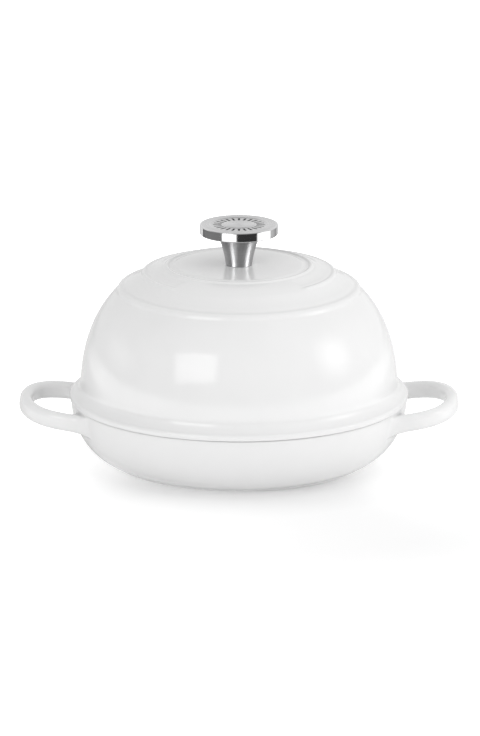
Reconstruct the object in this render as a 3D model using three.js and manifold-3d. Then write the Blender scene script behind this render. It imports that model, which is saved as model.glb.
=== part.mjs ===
// Bread cloche: a shallow two-handled cast-iron pan under a domed lid with a steel knob.
// Millimetres, +Z up. The origin is the middle of the foot, on the surface the pan stands on.
// -Y is the front, and the two handles lie along X.

import * as THREE from "three";
import { mergeVertices } from "three/addons/utils/BufferGeometryUtils.js";
import Module from "manifold-3d";

const wasm = await Module();
wasm.setup();

// Pan
const PAN_BORE = 240;
const PAN_WALL = 4;
const PAN_FLOOR = 4.5;
const RIM_HEIGHT = 45.6;
const RIM_ROUND = 1.2;
const FOOT_DIAMETER = 192.6;
const FOOT_HEIGHT = 0.9;
const BOWL_SWEEP = 38.6;

// Low ribs that lift the loaf off the pan's floor
const RIB_COUNT = 5;
const RIB_PITCH = 16;
const RIB_WIDTH = 5;
const RIB_HEIGHT = 1.2;

// Loop handles
const HANDLE_REACH = 38.2;
const HANDLE_SPAN = 89.6;
const HANDLE_SQUARENESS = 3.8;
const HANDLE_HEIGHT = 34.9;
const HANDLE_TILT = THREE.MathUtils.degToRad(8);
const HANDLE_BAND = 12.7;
const HANDLE_THICKNESS = 9.2;
const HANDLE_FLAT = 0.8;

// Lid
const LID_WALL = 4;
const LID_RISE = 100.2;
const FLANGE_OVERHANG = 1;
const FLANGE_WIDTH = 7.8;
const FLANGE_EDGE = 2.3;
const FLANGE_ROUND = 2;
const FLANGE_FILLET = 9.5;
const LIP_DEPTH = 4;
const LIP_CLEARANCE = 0.8;
const LIP_CHAMFER = 1;
const CROWN_DIAMETER = 88;
const CROWN_PULL = 34;
const WALL_FOOT = 6;
const WALL_PULL = 65;

// Raised rings on the lid; the middle one is open at the front
const INNER_RING_DIAMETER = 106.4;
const MIDDLE_RING_DIAMETER = 140;
const OUTER_RING_DIAMETER = 175.6;
const RING_WIDTH = 5;
const RING_HEIGHT = 0.5;
const RING_OPENING = THREE.MathUtils.degToRad(92);
const RING_RUNOUT = THREE.MathUtils.degToRad(6);

// Knob
const KNOB_DIAMETER = 58;
const KNOB_THICKNESS = 7.2;
const KNOB_CHAMFER = 0.8;
const PANEL_OUTER_DIAMETER = 42;
const PANEL_INNER_DIAMETER = 22;
const PANEL_DEPTH = 0.5;
const STEM_HEIGHT = 23.4;
const STEM_TOP_DIAMETER = 31.4;
const STEM_FOOT_DIAMETER = 19.9;
const STEM_FLARE = 1.5;
const STEM_CHAMFER = 0.5;
const SPIGOT_DIAMETER = 10;
const SPIGOT_LENGTH = 3;
const STEM_WEB = 4.5;
const INSERT_DIAMETER = 12;
const INSERT_CHAMFER = 0.6;

// Screw stack under the crown
const SCREW_DIAMETER = 6;
const SCREW_HEAD_DIAMETER = 11.5;
const SCREW_HEAD_HEIGHT = 3.8;
const SCREW_END_GAP = 3;
const RECESS_LENGTH = 6.4;
const RECESS_WIDTH = 1.7;
const RECESS_DEPTH = 2;
const FLAT_WASHER_DIAMETER = 18;
const FLAT_WASHER_THICKNESS = 1.2;
const LOCK_WASHER_DIAMETER = 11.8;
const LOCK_WASHER_THICKNESS = 1.6;
const LOCK_WASHER_SLIT = 1.2;

// Clearances
const HOLE_CLEARANCE = 0.4;
const FIT_CLEARANCE = 0.3;

// Facets
const CASTING_SEGMENTS = 48;
const KNOB_SEGMENTS = 36;
const FASTENER_SEGMENTS = 24;
const DOME_STEPS = 12;
const BOWL_STEPS = 8;
const HANDLE_STEPS = 22;
const HANDLE_ROUND_STEPS = 2;
const ROUND_STEPS = 3;
const STEM_STEPS = 6;
const CUT_MARGIN = 2;
const SEARCH_HALVINGS = 40;

// Radii and levels that follow from the sizes above
const boreRadius = PAN_BORE / 2;
const rimRadius = boreRadius + PAN_WALL;
const footRadius = FOOT_DIAMETER / 2;
const flangeRadius = rimRadius + FLANGE_OVERHANG;
const wallRadius = flangeRadius - FLANGE_WIDTH;
const crownHeight = RIM_HEIGHT + LID_RISE;
const crownUnderside = crownHeight - LID_WALL;
const stemTop = crownHeight + STEM_HEIGHT;
const knobTop = stemTop + KNOB_THICKNESS;
const holeRadius = SCREW_DIAMETER / 2 + HOLE_CLEARANCE;
const socketFoot = stemTop - SPIGOT_LENGTH - FIT_CLEARANCE;
const insertFoot = crownHeight + FIT_CLEARANCE;
const insertTop = socketFoot - STEM_WEB - FIT_CLEARANCE;
const screwTip = insertTop - SCREW_END_GAP;
const flatWasherFoot = crownUnderside - FLAT_WASHER_THICKNESS;
const lockWasherFoot = flatWasherFoot - LOCK_WASHER_THICKNESS;
const screwHeadFoot = lockWasherFoot - SCREW_HEAD_HEIGHT;

const white = { color: 0xf4f4f2, roughness: 0.12, metalness: 0 };
const steel = { color: 0xb9babb, roughness: 0.28, metalness: 1 };
const plated = { color: 0xa3a5a6, roughness: 0.4, metalness: 1 };

const point = (radius, height) => new THREE.Vector2(radius, height);

/** Points of a circular arc from one angle to another, both ends included. */
function arc(center, radius, from, to, steps = ROUND_STEPS) {
  const points = [];
  for (let step = 0; step <= steps; step += 1) {
    const angle = from + ((to - from) * step) / steps;
    points.push(point(center.x + radius * Math.cos(angle), center.y + radius * Math.sin(angle)));
  }
  return points;
}

/** A profile of (radius, height) points spun about the Z axis, as a geometry. */
function spun(profile, segments) {
  return new THREE.LatheGeometry(profile, segments).rotateX(Math.PI / 2);
}

/** A closed geometry as a solid that can be joined and cut. */
function solid(geometry) {
  geometry.deleteAttribute("normal");
  geometry.deleteAttribute("uv");
  const merged = mergeVertices(geometry);
  const vertProperties = new Float32Array(merged.attributes.position.array);
  const triVerts = new Uint32Array(merged.index.array);
  return new wasm.Manifold(new wasm.Mesh({ numProp: 3, vertProperties, triVerts }));
}

/** A profile that closes on itself, spun into a solid. */
function turned(profile, segments) {
  return solid(spun([...profile, profile[0]], segments));
}

/** A named piece made of a solid, in a finish of its own. */
function piece(name, body, finish) {
  const { vertProperties, triVerts } = body.getMesh();
  const geometry = new THREE.BufferGeometry();
  geometry.setAttribute("position", new THREE.BufferAttribute(vertProperties, 3));
  geometry.setIndex(new THREE.BufferAttribute(triVerts, 1));
  geometry.computeVertexNormals();
  const mesh = new THREE.Mesh(geometry, new THREE.MeshStandardMaterial(finish));
  mesh.name = name;
  return mesh;
}

// Base pan

/** Quarter of the bowl's oval section, from the floor end up to the rim. */
function bowlArc(sweep, depth, floor) {
  const center = point(rimRadius - BOWL_SWEEP, RIM_HEIGHT);
  const start = Math.asin((RIM_HEIGHT - floor) / depth);
  const points = [];
  for (let step = 0; step <= BOWL_STEPS; step += 1) {
    const angle = start * (1 - step / BOWL_STEPS);
    points.push(point(center.x + sweep * Math.cos(angle), center.y - depth * Math.sin(angle)));
  }
  return points;
}

/** Depth of the oval that runs from the rim down through the top of the foot. */
function bowlDepth() {
  const share = (footRadius - (rimRadius - BOWL_SWEEP)) / BOWL_SWEEP;
  return (RIM_HEIGHT - FOOT_HEIGHT) / Math.sqrt(1 - share * share);
}

/** The pan's outside with a low foot and a rounded rim, filled to the axis. */
function panOutside() {
  const foot = [point(0, 0), point(footRadius, 0)];
  const side = bowlArc(BOWL_SWEEP, bowlDepth(), FOOT_HEIGHT).slice(0, -1);
  const corner = point(rimRadius - RIM_ROUND, RIM_HEIGHT - RIM_ROUND);
  const rim = arc(corner, RIM_ROUND, 0, Math.PI / 2);
  return solid(spun([...foot, ...side, ...rim, point(0, RIM_HEIGHT)], CASTING_SEGMENTS));
}

/** The pan's hollow, ribbed along its floor and open past the rim. */
function panInside() {
  const floor = [point(0, PAN_FLOOR)];
  for (let rib = 1; rib <= RIB_COUNT; rib += 1) {
    const radius = rib * RIB_PITCH;
    floor.push(point(radius - RIB_WIDTH / 2, PAN_FLOOR));
    floor.push(point(radius, PAN_FLOOR + RIB_HEIGHT));
    floor.push(point(radius + RIB_WIDTH / 2, PAN_FLOOR));
  }
  const side = bowlArc(BOWL_SWEEP - PAN_WALL, bowlDepth() + FOOT_HEIGHT - PAN_FLOOR, PAN_FLOOR);
  const above = RIM_HEIGHT + CUT_MARGIN;
  const mouth = [point(boreRadius, above), point(0, above)];
  return solid(spun([...floor, ...side, ...mouth], CASTING_SEGMENTS));
}

/** Middle line of a handle: a loop, squared off at the tip, that lifts towards it. */
class HandleLoop extends THREE.Curve {
  constructor(side) {
    super();
    this.side = side;
    this.root = Math.sqrt(boreRadius ** 2 - (HANDLE_SPAN / 2) ** 2) - PAN_WALL;
    this.reach = rimRadius + HANDLE_REACH - HANDLE_THICKNESS / 2 - this.root;
  }

  getPoint(share, target = new THREE.Vector3()) {
    const angle = Math.PI * (share - 0.5);
    const reach = this.reach * Math.cos(angle) ** (2 / HANDLE_SQUARENESS);
    const across = (HANDLE_SPAN / 2) * Math.sin(angle);
    const height = HANDLE_HEIGHT + reach * Math.tan(HANDLE_TILT);
    return target.set(this.side * (this.root + reach), this.side * across, height);
  }

  /** Frames that keep the band square to the loop's own plane. */
  computeFrenetFrames(segments) {
    const up = new THREE.Vector3(-this.side * Math.sin(HANDLE_TILT), 0, Math.cos(HANDLE_TILT));
    const frames = { tangents: [], normals: [], binormals: [] };
    for (let step = 0; step <= segments; step += 1) {
      const tangent = this.getTangentAt(step / segments);
      frames.tangents.push(tangent);
      frames.normals.push(up.clone());
      frames.binormals.push(tangent.clone().cross(up));
    }
    return frames;
  }
}

/** Upright band section of a handle, rounded to a narrow flat; its x runs along the height of the band. */
function handleSection() {
  const round = (HANDLE_THICKNESS - HANDLE_FLAT) / 2;
  const tall = HANDLE_BAND / 2 - round;
  const thick = HANDLE_FLAT / 2;
  const quarter = Math.PI / 2;
  const section = new THREE.Shape();
  section.absarc(tall, thick, round, 0, quarter);
  section.absarc(-tall, thick, round, quarter, 2 * quarter);
  section.absarc(-tall, -thick, round, 2 * quarter, 3 * quarter);
  section.absarc(tall, -thick, round, 3 * quarter, 4 * quarter);
  section.closePath();
  return section;
}

/** One loop handle as a bent bar whose ends run into the pan's wall. */
function handle(side) {
  const extrudePath = new HandleLoop(side);
  const options = { extrudePath, steps: HANDLE_STEPS, curveSegments: HANDLE_ROUND_STEPS };
  return solid(new THREE.ExtrudeGeometry(handleSection(), options));
}

function basePan() {
  const casting = panOutside().add(handle(1)).add(handle(-1)).subtract(panInside());
  return piece("base_pan", casting, white);
}

// Lid

const dome = new THREE.CubicBezierCurve(
  point(CROWN_DIAMETER / 2, crownHeight),
  point(CROWN_DIAMETER / 2 + CROWN_PULL, crownHeight),
  point(wallRadius, RIM_HEIGHT + WALL_FOOT + WALL_PULL),
  point(wallRadius, RIM_HEIGHT + WALL_FOOT),
);

// Centres of the flange's round edge and of the hollow fillet that runs from it into the wall
const edgeCenter = point(flangeRadius - FLANGE_ROUND, RIM_HEIGHT + FLANGE_EDGE);
const filletAcross = wallRadius + FLANGE_FILLET - edgeCenter.x;
const filletRise = Math.sqrt((FLANGE_FILLET + FLANGE_ROUND) ** 2 - filletAcross ** 2);
const filletCenter = point(edgeCenter.x + filletAcross, edgeCenter.y + filletRise);
const filletLean = Math.atan2(filletRise, filletAcross);

/** Place along the dome, from 0 at the crown to 1 at the flange, where a test first holds. */
function placeWhere(test) {
  let low = 0;
  let high = 1;
  for (let halving = 0; halving < SEARCH_HALVINGS; halving += 1) {
    const middle = (low + high) / 2;
    if (test(dome.getPoint(middle))) {
      high = middle;
    } else {
      low = middle;
    }
  }
  return high;
}

/** A point at a distance out of the dome's surface. */
function offDome(place, distance) {
  const along = dome.getTangent(place);
  return dome.getPoint(place).add(point(-along.y, along.x).multiplyScalar(distance));
}

/** Height of the raised rings of the given diameters at a radius. */
function ringHeight(radius, diameters) {
  let height = 0;
  for (const diameter of diameters) {
    const share = Math.min(1, Math.abs(radius - diameter / 2) / (RING_WIDTH / 2));
    height += (RING_HEIGHT * (1 + Math.cos(Math.PI * share))) / 2;
  }
  return height;
}

const openRings = [INNER_RING_DIAMETER, OUTER_RING_DIAMETER];
const allRings = [...openRings, MIDDLE_RING_DIAMETER];
const domeFoot = placeWhere((at) => at.y <= filletCenter.y);

/** Places along the dome that its section is drawn through, closer together on the rings. */
function domePlaces() {
  const places = [];
  for (let step = 0; step <= DOME_STEPS; step += 1) {
    const place = (domeFoot * step) / DOME_STEPS;
    if (ringHeight(dome.getPoint(place).x, allRings) === 0) {
      places.push(place);
    }
  }
  for (const diameter of allRings) {
    for (const share of [-1, -0.5, 0, 0.5, 1]) {
      const radius = (diameter + share * RING_WIDTH) / 2;
      places.push(placeWhere((at) => at.x >= radius));
    }
  }
  return places.sort((first, second) => first - second);
}

/** The lid's closed section with the rings of the given diameters. */
function lidSection(diameters) {
  const outside = domePlaces().map((place) => offDome(place, ringHeight(dome.getPoint(place).x, diameters)));
  const fillet = arc(filletCenter, FLANGE_FILLET, Math.PI, Math.PI + filletLean).slice(1, -1);
  const edge = [...arc(edgeCenter, FLANGE_ROUND, filletLean, 0), point(flangeRadius, RIM_HEIGHT)];
  const lipRadius = boreRadius - LIP_CLEARANCE;
  const lipFoot = RIM_HEIGHT - LIP_DEPTH;
  const lip = [
    point(lipRadius, RIM_HEIGHT),
    point(lipRadius, lipFoot + LIP_CHAMFER),
    point(lipRadius - LIP_CHAMFER, lipFoot),
    point(wallRadius - LID_WALL, lipFoot),
  ];
  const inside = [];
  for (let step = DOME_STEPS; step >= 0; step -= 1) {
    inside.push(offDome(step / DOME_STEPS, -LID_WALL));
  }
  const hole = [point(holeRadius, crownUnderside), point(holeRadius, crownHeight)];
  return [...outside, ...fillet, ...edge, ...lip, ...inside, ...hole].reverse();
}

/** Share of the middle ring that stands at an angle from the front. */
function ringShare(angle) {
  const fromFront = Math.abs(THREE.MathUtils.euclideanModulo(angle + Math.PI, 2 * Math.PI) - Math.PI);
  return THREE.MathUtils.smoothstep(fromFront, RING_OPENING / 2 - RING_RUNOUT, RING_OPENING / 2);
}

function lidDome() {
  const whole = lidSection(allRings);
  const open = lidSection(openRings);
  const profile = [...whole, whole[0]];
  const openProfile = [...open, open[0]];
  const geometry = new THREE.LatheGeometry(profile, CASTING_SEGMENTS);
  const position = geometry.attributes.position;
  for (let index = 0; index < position.count; index += 1) {
    const angle = (2 * Math.PI * Math.floor(index / profile.length)) / CASTING_SEGMENTS;
    const at = openProfile[index % profile.length].clone();
    at.lerp(profile[index % profile.length], ringShare(angle));
    position.setXYZ(index, at.x * Math.sin(angle), at.y, at.x * Math.cos(angle));
  }
  return piece("lid_dome", solid(geometry.rotateX(Math.PI / 2)), white);
}

// Knob

function knobCap() {
  const outer = KNOB_DIAMETER / 2;
  const panelFloor = knobTop - PANEL_DEPTH;
  const spigotFoot = stemTop - SPIGOT_LENGTH;
  const profile = [
    point(0, spigotFoot),
    point(SPIGOT_DIAMETER / 2, spigotFoot),
    point(SPIGOT_DIAMETER / 2, stemTop),
    point(outer - KNOB_CHAMFER, stemTop),
    point(outer, stemTop + KNOB_CHAMFER),
    point(outer, knobTop - KNOB_CHAMFER),
    point(outer - KNOB_CHAMFER, knobTop),
    point(PANEL_OUTER_DIAMETER / 2, knobTop),
    point(PANEL_OUTER_DIAMETER / 2 - PANEL_DEPTH, panelFloor),
    point(PANEL_INNER_DIAMETER / 2 + PANEL_DEPTH, panelFloor),
    point(PANEL_INNER_DIAMETER / 2, knobTop),
    point(0, knobTop),
  ];
  return piece("knob_cap", solid(spun(profile, KNOB_SEGMENTS)), steel);
}

/** The stem's trumpet-shaped side, from above the chamfer at its foot to its top. */
function stemSide() {
  const foot = STEM_FOOT_DIAMETER / 2;
  const flare = (STEM_TOP_DIAMETER - STEM_FOOT_DIAMETER) / 2;
  const points = [];
  for (let step = 0; step <= STEM_STEPS; step += 1) {
    const share = step / STEM_STEPS;
    const height = THREE.MathUtils.lerp(crownHeight + STEM_CHAMFER, stemTop, share);
    points.push(point(foot + flare * share ** STEM_FLARE, height));
  }
  return points;
}

function knobStem() {
  const bore = INSERT_DIAMETER / 2 + FIT_CLEARANCE;
  const boreTop = insertTop + FIT_CLEARANCE;
  const socket = SPIGOT_DIAMETER / 2 + FIT_CLEARANCE;
  const profile = [
    point(0, boreTop),
    point(bore, boreTop),
    point(bore, crownHeight),
    point(STEM_FOOT_DIAMETER / 2 - STEM_CHAMFER, crownHeight),
    ...stemSide(),
    point(socket, stemTop),
    point(socket, socketFoot),
    point(0, socketFoot),
  ];
  return piece("knob_stem", solid(spun(profile, KNOB_SEGMENTS)), steel);
}

function threadedInsert() {
  const outer = INSERT_DIAMETER / 2;
  const bore = SCREW_DIAMETER / 2 + FIT_CLEARANCE;
  const profile = [
    point(bore, insertFoot),
    point(outer - INSERT_CHAMFER, insertFoot),
    point(outer, insertFoot + INSERT_CHAMFER),
    point(outer, insertTop - INSERT_CHAMFER),
    point(outer - INSERT_CHAMFER, insertTop),
    point(bore, insertTop),
  ];
  return piece("threaded_insert", turned(profile, FASTENER_SEGMENTS), plated);
}

// Screw stack

/** A flat ring between two levels, round the screw. */
function ring(diameter, foot, thickness) {
  const bore = SCREW_DIAMETER / 2 + FIT_CLEARANCE;
  const profile = [
    point(bore, foot),
    point(diameter / 2, foot),
    point(diameter / 2, foot + thickness),
    point(bore, foot + thickness),
  ];
  return turned(profile, FASTENER_SEGMENTS);
}

function flatWasher() {
  const body = ring(FLAT_WASHER_DIAMETER, flatWasherFoot, FLAT_WASHER_THICKNESS);
  return piece("flat_washer", body, plated);
}

function lockWasher() {
  const reach = LOCK_WASHER_DIAMETER;
  const slit = new THREE.BoxGeometry(reach, LOCK_WASHER_SLIT, LOCK_WASHER_THICKNESS + CUT_MARGIN);
  slit.translate(reach / 2, 0, lockWasherFoot + LOCK_WASHER_THICKNESS / 2);
  const body = ring(LOCK_WASHER_DIAMETER, lockWasherFoot, LOCK_WASHER_THICKNESS);
  return piece("lock_washer", body.subtract(solid(slit)), plated);
}

/** The cross cut in the screw's head, worked from inside the lid. */
function driverRecess() {
  const height = RECESS_DEPTH + CUT_MARGIN;
  const middle = screwHeadFoot + RECESS_DEPTH - height / 2;
  const along = new THREE.BoxGeometry(RECESS_LENGTH, RECESS_WIDTH, height).translate(0, 0, middle);
  const across = new THREE.BoxGeometry(RECESS_WIDTH, RECESS_LENGTH, height).translate(0, 0, middle);
  return solid(along).add(solid(across));
}

function knobScrew() {
  const head = SCREW_HEAD_DIAMETER / 2;
  const round = SCREW_HEAD_HEIGHT / 2;
  const corner = point(head - round, screwHeadFoot + round);
  const profile = [
    point(0, screwHeadFoot),
    ...arc(corner, round, -Math.PI / 2, 0),
    point(head, lockWasherFoot),
    point(SCREW_DIAMETER / 2, lockWasherFoot),
    point(SCREW_DIAMETER / 2, screwTip),
    point(0, screwTip),
  ];
  const body = solid(spun(profile, FASTENER_SEGMENTS)).subtract(driverRecess());
  return piece("knob_screw", body, plated);
}

const knob = new THREE.Group();
knob.add(knobCap(), knobStem(), threadedInsert(), knobScrew(), lockWasher(), flatWasher());

const lid = new THREE.Group();
lid.add(lidDome(), knob);

const cloche = new THREE.Group();
cloche.add(basePan(), lid);

export default cloche;
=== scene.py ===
"""Bread cloche in white enamel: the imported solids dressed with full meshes, finishes and a pale studio."""

import logging
import math
from dataclasses import dataclass, field
from enum import Enum
from typing import Any

import bpy
import numpy as np
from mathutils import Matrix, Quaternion, Vector


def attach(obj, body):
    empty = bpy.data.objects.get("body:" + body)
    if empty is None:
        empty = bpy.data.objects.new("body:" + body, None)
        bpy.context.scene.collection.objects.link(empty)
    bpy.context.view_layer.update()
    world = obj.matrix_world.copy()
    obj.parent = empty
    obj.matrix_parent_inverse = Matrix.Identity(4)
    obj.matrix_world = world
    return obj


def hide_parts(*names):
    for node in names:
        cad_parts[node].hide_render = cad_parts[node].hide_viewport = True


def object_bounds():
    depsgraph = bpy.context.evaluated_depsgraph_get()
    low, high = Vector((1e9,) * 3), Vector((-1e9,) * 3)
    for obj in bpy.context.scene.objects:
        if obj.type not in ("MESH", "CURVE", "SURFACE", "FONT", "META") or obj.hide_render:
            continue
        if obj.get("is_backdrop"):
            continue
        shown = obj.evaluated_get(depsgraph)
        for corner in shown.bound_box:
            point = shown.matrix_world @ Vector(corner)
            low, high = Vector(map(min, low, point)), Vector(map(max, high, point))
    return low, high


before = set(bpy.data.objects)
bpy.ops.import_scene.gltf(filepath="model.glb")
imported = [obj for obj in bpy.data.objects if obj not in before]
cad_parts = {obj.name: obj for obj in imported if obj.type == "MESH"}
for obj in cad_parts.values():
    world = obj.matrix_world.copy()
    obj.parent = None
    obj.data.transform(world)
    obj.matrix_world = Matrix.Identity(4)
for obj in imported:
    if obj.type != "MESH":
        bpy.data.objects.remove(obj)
CAD_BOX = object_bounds()

MM = 0.001
LOG = logging.getLogger("bread_cloche")

# Angle, in degrees, past which an edge is sharp
CREASE = 38.0
# Points that a curve's length is measured through
FINE_STEPS = 4001
# Share of the way to its corner that makes a cubic curve round
ROUND_PULL = 0.5523
UNIT = (0.0, 1.0)

Pair = tuple[float, float]
Point = tuple[float, float, float]
Colour = Point
Stop = tuple[float, float, int]
Loop = list[int]
Socket = bpy.types.NodeSocket
Node = bpy.types.Node
Tree = bpy.types.NodeTree
Material = bpy.types.Material
Piece = bpy.types.Object


class Body(str, Enum):
    """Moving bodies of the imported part."""

    BASE = "base"
    PIVOT = "lid_pivot"
    LID = "lid"


class Slot(str, Enum):
    """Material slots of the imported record."""

    PAN = "pan_enamel"
    LID = "lid_enamel"
    KNOB = "knob_steel"
    FASTENER = "fastener_steel"


class Coat(int, Enum):
    """Which finish a band of a casting carries."""

    OUTSIDE = 0
    INSIDE = 1
    RIM = 2


class Working(int, Enum):
    """Which finish a face of the knob's disc carries."""

    POLISHED = 0
    TURNED = 1


class Wiring:
    """Adds and links nodes in one tree."""

    def __init__(self, tree: Tree) -> None:
        """Takes the tree that the nodes go into."""
        self.tree = tree

    def add(self, kind: str, inputs: dict[Any, Any] | None = None, **settings: Any) -> Node:
        """Adds a node.

        Args:
            kind: Blender's name for the type of node.
            inputs: What its sockets take, by name or number.
            settings: Properties of the node, by name.

        Returns:
            The new node.
        """
        node = self.tree.nodes.new(kind)
        for name, value in settings.items():
            setattr(node, name, value)
        self.fill(node, inputs or {})
        return node

    def fill(self, node: Node, inputs: dict[Any, Any]) -> None:
        """Feeds input sockets of a node, by name or number."""
        for socket, value in inputs.items():
            self.feed(node.inputs[socket], value)

    def feed(self, socket: Socket, value: Any) -> None:
        """Links an input socket to an output socket, or gives it a plain value."""
        if isinstance(value, Socket):
            self.tree.links.new(value, socket)
        else:
            socket.default_value = value

    def math(self, operation: str, *terms: Any) -> Socket:
        """Adds a math node for output sockets or numbers, and gives the socket of its result."""
        return self.add("ShaderNodeMath", dict(enumerate(terms)), operation=operation).outputs[0]

    def ease(self, value: Any, span: tuple[Any, Any], ends: tuple[Any, Any], kind: str = "LINEAR") -> Any:
        """Maps a value from a span to two ends, held beyond them, and gives the socket of the result."""
        terms = dict(enumerate((value, *span, *ends)))
        return self.add("ShaderNodeMapRange", terms, interpolation_type=kind).outputs[0]

    def noise(self, vector: Any, scale: Any, detail: float = 2.0) -> Socket:
        """Adds a noise texture with so many cycles per metre, and gives the socket of its value."""
        inputs = {"Vector": vector, "Scale": scale, "Detail": detail}
        return self.add("ShaderNodeTexNoise", inputs).outputs["Fac"]

    def split(self, vector: Socket) -> tuple[Socket, ...]:
        """The sockets of a vector's three parts."""
        return tuple(self.add("ShaderNodeSeparateXYZ", {0: vector}).outputs)

    def join(self, x: Any = 0.0, y: Any = 0.0, z: Any = 0.0) -> Socket:
        """The socket of a vector made from its parts."""
        return self.add("ShaderNodeCombineXYZ", {0: x, 1: y, 2: z}).outputs[0]

    def reach(self, east: Socket, north: Socket) -> Socket:
        """The socket of the distance from the middle."""
        square = self.math("MULTIPLY", north, north)
        return self.math("SQRT", self.math("MULTIPLY_ADD", east, east, square))

    def bearing(self, east: Socket, north: Socket) -> Socket:
        """The socket of the angle to the right of the front, in radians."""
        return self.math("ARCTAN2", east, self.math("MULTIPLY", north, -1.0))

    def attribute(self, name: str) -> Socket:
        """The socket of a number that a mesh carries under a name."""
        node = self.add("GeometryNodeInputNamedAttribute", {"Name": name}, data_type="FLOAT")
        return node.outputs["Attribute"]

    def store(self, shape: Socket, name: str, value: Any, domain: str) -> Socket:
        """The socket of a shape that carries a number under a name."""
        inputs = {"Geometry": shape, "Name": name, "Value": value}
        kind = "GeometryNodeStoreNamedAttribute"
        return self.add(kind, inputs, data_type="FLOAT", domain=domain).outputs[0]

    def end(self, shape: Socket, faces: Socket, material: Socket, result: Node) -> Tree:
        """Ends a Geometry Nodes tree: hands out the shape, with some of its faces in a material."""
        whole = self.add("GeometryNodeRealizeInstances", {0: shape}).outputs[0]
        inputs = {"Geometry": whole, "Selection": faces, "Material": material}
        self.feed(result.inputs[0], self.add("GeometryNodeSetMaterial", inputs).outputs[0])
        return self.tree


def new_group(
    kind: str, name: str, inputs: dict[str, Any], outputs: dict[str, str]
) -> tuple[Wiring, Any, Any]:
    """Starts a node group with named sockets.

    Args:
        kind: Blender's name for the type of tree.
        name: The group's name.
        inputs: Socket type or default number of each input, by name.
        outputs: Socket type of each output, by name.

    Returns:
        The wiring of the group, and its input and output nodes.
    """
    tree = bpy.data.node_groups.new(name, kind)
    for label, value in inputs.items():
        if isinstance(value, str):
            tree.interface.new_socket(label, in_out="INPUT", socket_type=value)
            continue
        number = "NodeSocketInt" if isinstance(value, int) else "NodeSocketFloat"
        tree.interface.new_socket(label, in_out="INPUT", socket_type=number).default_value = value
    for label, socket_type in outputs.items():
        tree.interface.new_socket(label, in_out="OUTPUT", socket_type=socket_type)
    wiring = Wiring(tree)
    return wiring, wiring.add("NodeGroupInput"), wiring.add("NodeGroupOutput")


class SurfaceGroups:
    """Shader groups that several finishes share."""

    drift: Pair = (0.3, 0.7)
    mark_drift: Pair = (0.35, 0.65)
    skin_share: float = 0.12
    cloud_scale: float = 90.0

    def __init__(self) -> None:
        """Builds each group once."""
        self.glaze = self._glaze()
        self.lathe_marks = self._lathe_marks()

    @staticmethod
    def _start(name: str, numbers: dict[str, float]) -> tuple[Wiring, Any, Any]:
        """Starts a group that gives tone, gloss and height from a place and some numbers."""
        results = dict.fromkeys(("Tone", "Gloss", "Height"), "NodeSocketFloat")
        return new_group("ShaderNodeTree", name, {"Vector": "NodeSocketVector", **numbers}, results)

    def _glaze(self) -> Tree:
        """Unevenness of a fired coat: slow waves, a fine skin and drifting tone and gloss."""
        numbers = {"Wave Scale": 30.0, "Skin Scale": 260.0, "Gloss Low": 0.1, "Gloss High": 0.2}
        wiring, given, result = self._start("glaze", numbers)
        at = given.outputs
        wave = wiring.noise(at["Vector"], at["Wave Scale"])
        skin = wiring.noise(at["Vector"], at["Skin Scale"])
        outputs = {
            "Tone": wiring.ease(wave, self.drift, UNIT),
            "Gloss": wiring.ease(skin, self.drift, (at["Gloss Low"], at["Gloss High"])),
            "Height": wiring.math("MULTIPLY_ADD", skin, self.skin_share, wave),
        }
        wiring.fill(result, outputs)
        return wiring.tree

    def _lathe_marks(self) -> Tree:
        """Fine rings that a tool leaves round the Z axis, with a drift in gloss."""
        numbers = {"Mark Scale": 2200.0, "Gloss Low": 0.2, "Gloss High": 0.35}
        wiring, given, result = self._start("lathe_marks", numbers)
        at = given.outputs
        east, north, up = wiring.split(at["Vector"])
        marks = wiring.noise(wiring.join(wiring.reach(east, north), up), at["Mark Scale"], 1.0)
        cloud = wiring.noise(at["Vector"], self.cloud_scale)
        outputs = {
            "Tone": wiring.ease(marks, self.mark_drift, UNIT),
            "Gloss": wiring.ease(cloud, self.drift, (at["Gloss Low"], at["Gloss High"])),
            "Height": marks,
        }
        wiring.fill(result, outputs)
        return wiring.tree


def start_material(name: str, group: Tree, values: dict[str, float]) -> tuple[Wiring, Any, Any]:
    """Starts a material that reads a shared group at Object coordinates.

    Args:
        name: The material's name.
        group: The shader group that it is worked from.
        values: The group's numbers in this material.

    Returns:
        The wiring, the group's outputs and the Principled shader.
    """
    material = bpy.data.materials.new(name)
    material.use_nodes = True
    wiring = Wiring(material.node_tree)
    place = wiring.add("ShaderNodeTexCoord").outputs["Object"]
    effect = wiring.add("ShaderNodeGroup", {"Vector": place, **values}, node_tree=group)
    return wiring, effect.outputs, material.node_tree.nodes["Principled BSDF"]


def blend_colour(wiring: Wiring, share: Socket, low: Any, high: Any) -> Socket:
    """Mixes two colours, plain or from sockets, by a share from 0 to 1."""
    ends = [colour if isinstance(colour, Socket) else (*colour, 1.0) for colour in (low, high)]
    return wiring.add("ShaderNodeMix", {0: share, 6: ends[0], 7: ends[1]}, data_type="RGBA").outputs[2]


def raise_surface(wiring: Wiring, shader: Node, height: Socket, depth: float) -> None:
    """Feeds a height that reaches a depth in millimetres into a shader's normal."""
    bump = wiring.add("ShaderNodeBump", {"Distance": depth * MM, "Height": height})
    wiring.feed(shader.inputs["Normal"], bump.outputs["Normal"])


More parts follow.
